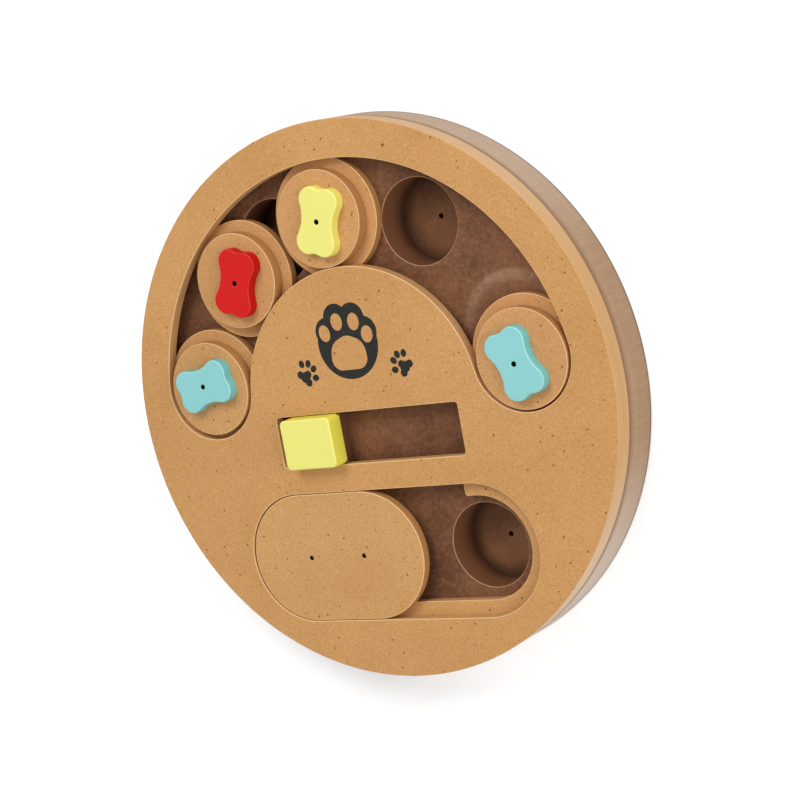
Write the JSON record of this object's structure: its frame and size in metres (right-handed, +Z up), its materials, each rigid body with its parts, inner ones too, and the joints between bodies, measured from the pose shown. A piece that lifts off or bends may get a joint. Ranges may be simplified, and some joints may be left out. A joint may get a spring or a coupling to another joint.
{
  "type": "dog puzzle feeder",
  "caption": "Round wooden treat puzzle with treat cups, pucks with bone-shaped grips in an arc channel, a sliding oval lid and a sliding block.",
  "frame": {"origin": "centre of the round underside, on the surface the feeder lies on", "axes": "+Z up out of the face, +Y towards the arc channel, +X to the right when read from above with the arc channel at the top"},
  "size_m": [0.25, 0.25, 0.0385],
  "materials": {
    "board_wood": "natural MDF, lightly sanded",
    "stained_board": "brown stained board, matte",
    "back_wood": "thin hardboard back",
    "puck_wood": "natural MDF",
    "lid_wood": "natural MDF",
    "cyan_paint": "satin paint on wood",
    "red_paint": "satin paint on wood",
    "yellow_paint": "satin paint on wood",
    "print_ink": "stencilled black ink",
    "steel": "plain brad"
  },
  "bodies": {
    "frame": {"face_board": "board_wood", "guide_board": "board_wood", "cup_board": "stained_board", "back_board": "back_wood"},
    "left_slide": {"left_flange": "puck_wood"},
    "left_knob": {"left_disc": "puck_wood", "left_bone": "cyan_paint", "left_brad": "steel"},
    "red_slide": {"red_flange": "puck_wood"},
    "red_knob": {"red_disc": "puck_wood", "red_bone": "red_paint", "red_brad": "steel"},
    "yellow_slide": {"yellow_flange": "puck_wood"},
    "yellow_knob": {"yellow_disc": "puck_wood", "yellow_bone": "yellow_paint", "yellow_brad": "steel"},
    "right_slide": {"right_flange": "puck_wood"},
    "right_knob": {"right_disc": "puck_wood", "right_bone": "cyan_paint", "right_brad": "steel"},
    "lid": {"lid_plate": "lid_wood", "lid_runner": "lid_wood", "lid_pin_left": "steel", "lid_pin_right": "steel"},
    "slider": {"slider_head": "yellow_paint", "slider_neck": "puck_wood", "slider_foot": "puck_wood"}
  },
  "joints": [
    {"name": "left_track", "type": "hinge", "parent": "frame", "child": "left_slide", "pos_m": [0, 0, 0.0229], "axis": [0, 0, 1], "range_deg": [-23.5, 0]},
    {"name": "red_track", "type": "hinge", "parent": "left_slide", "child": "red_slide", "pos_m": [0, 0, 0.0229], "axis": [0, 0, 1], "range_deg": [-23.5, 0]},
    {"name": "yellow_track", "type": "hinge", "parent": "red_slide", "child": "yellow_slide", "pos_m": [0, 0, 0.0229], "axis": [0, 0, -1], "range_deg": [0, 23.5]},
    {"name": "right_track", "type": "hinge", "parent": "frame", "child": "right_slide", "pos_m": [0, 0, 0.0229], "axis": [0, 0, 1], "range_deg": [0, 23.5]},
    {"name": "left_turn", "type": "hinge", "parent": "left_slide", "child": "left_knob", "pos_m": [-0.08279, 0.01363, 0.0285], "axis": [0, 0, 1], "continuous": true},
    {"name": "red_turn", "type": "hinge", "parent": "red_slide", "child": "red_knob", "pos_m": [-0.05585, 0.0614, 0.0285], "axis": [0, 0, 1], "continuous": true},
    {"name": "yellow_turn", "type": "hinge", "parent": "yellow_slide", "child": "yellow_knob", "pos_m": [-0.00469, 0.08287, 0.0285], "axis": [0, 0, 1], "continuous": true},
    {"name": "right_turn", "type": "hinge", "parent": "right_slide", "child": "right_knob", "pos_m": [0.08409, 0.01242, 0.0285], "axis": [0, 0, 1], "continuous": true},
    {"name": "lid_slide", "type": "slide", "parent": "frame", "child": "lid", "axis": [1, 0, 0], "range_m": [0, 0.058]},
    {"name": "block_slide", "type": "slide", "parent": "frame", "child": "slider", "axis": [1, 0, 0], "range_m": [-0.0068, 0.0624]}
  ]
}
